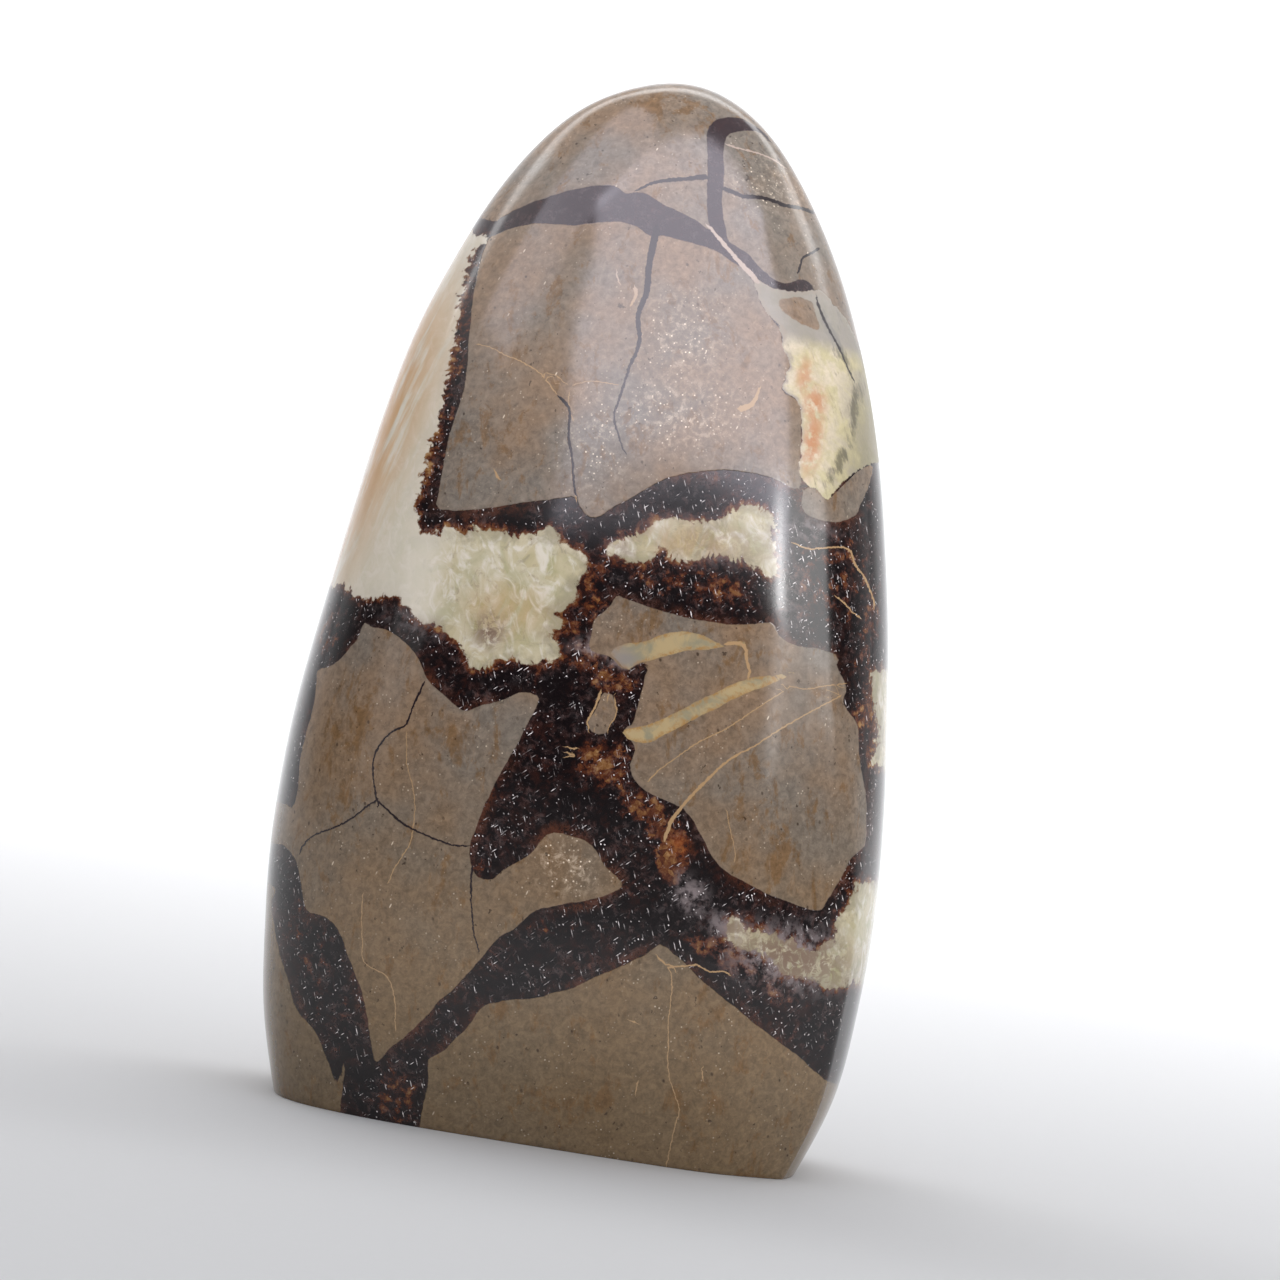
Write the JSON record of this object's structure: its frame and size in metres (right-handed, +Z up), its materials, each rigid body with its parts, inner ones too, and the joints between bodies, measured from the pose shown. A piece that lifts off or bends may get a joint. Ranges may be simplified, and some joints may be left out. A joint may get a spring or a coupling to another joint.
{
  "type": "polished septarian nodule",
  "caption": "Free-standing polished septarian nodule, a rounded tablet of brown mudstone tapering to a dome, with dark and pale calcite veins and a flat cut foot.",
  "frame": {"origin": "centre of the flat cut foot, at the middle of the stone's box in X and Y and at the bottom in Z", "axes": "+Z up from the foot to the dome, the veined broad face looks along -Y, +X to the right of that face"},
  "size_m": [0.0637, 0.0438, 0.111],
  "materials": {
    "septarian_stone": "polished grey-brown mudstone with dark brown and cream calcite veins"
  },
  "bodies": {
    "root": {"nodule": "septarian_stone"}
  },
  "joints": []
}
